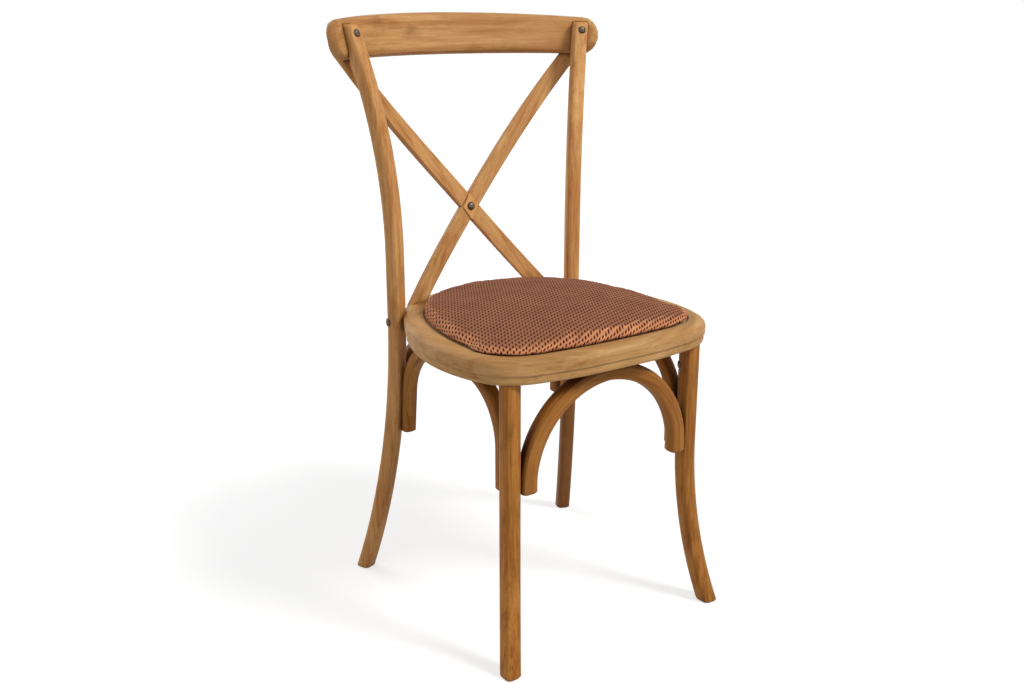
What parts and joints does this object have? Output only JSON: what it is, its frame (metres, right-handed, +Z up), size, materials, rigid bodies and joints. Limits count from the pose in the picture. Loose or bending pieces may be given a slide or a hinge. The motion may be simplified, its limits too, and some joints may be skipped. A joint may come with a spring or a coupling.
{
  "type": "cross back dining chair",
  "caption": "Wooden dining chair with a bent crest rail, crossed back slats, curved legs, arched braces under a rounded seat frame and a woven, crowned seat pad",
  "frame": {"origin": "On the floor, under the middle of the chair's bounding box", "axes": "+X to the sitter's left as seen from the front (the viewer's right), -Y towards the front of the seat, +Y towards the back, +Z up"},
  "size_m": [0.4888, 0.4928, 0.8897],
  "materials": {
    "oak_frame": "light tan waxed oak",
    "oak_leg": "honey brown waxed oak",
    "oak_post": "honey brown waxed oak",
    "oak_crest": "tan waxed oak",
    "oak_slat": "tan waxed oak",
    "oak_arch": "darker brown waxed oak",
    "plywood": "bare plywood",
    "dowel_wood": "bare beech",
    "woven_seat": "matte brick red weave",
    "dark_screw": "dark bronze, half gloss",
    "plain_steel": "zinc plated"
  },
  "bodies": {
    "root": {"seat_hoop": "oak_frame", "seat_rear_rail": "oak_frame", "seat_board": "plywood", "seat_pad": "woven_seat", "front_leg_left": "oak_leg", "front_leg_right": "oak_leg", "rear_post_left": "oak_post", "rear_post_right": "oak_post", "crest_rail": "oak_crest", "cross_slat_front": "oak_slat", "cross_slat_rear": "oak_slat", "front_arch": "oak_arch", "rear_arch": "oak_arch", "side_arch_left": "oak_arch", "side_arch_right": "oak_arch", "cross_bolt": "dark_screw", "cross_nut": "dark_screw", "crest_screws": "dark_screw", "seat_screws": "dark_screw", "leg_screws": "dark_screw", "leg_dowels": "dowel_wood", "rail_dowels": "dowel_wood", "arch_dowels": "dowel_wood", "arch_screws": "plain_steel", "board_screws": "plain_steel"}
  },
  "joints": []
}
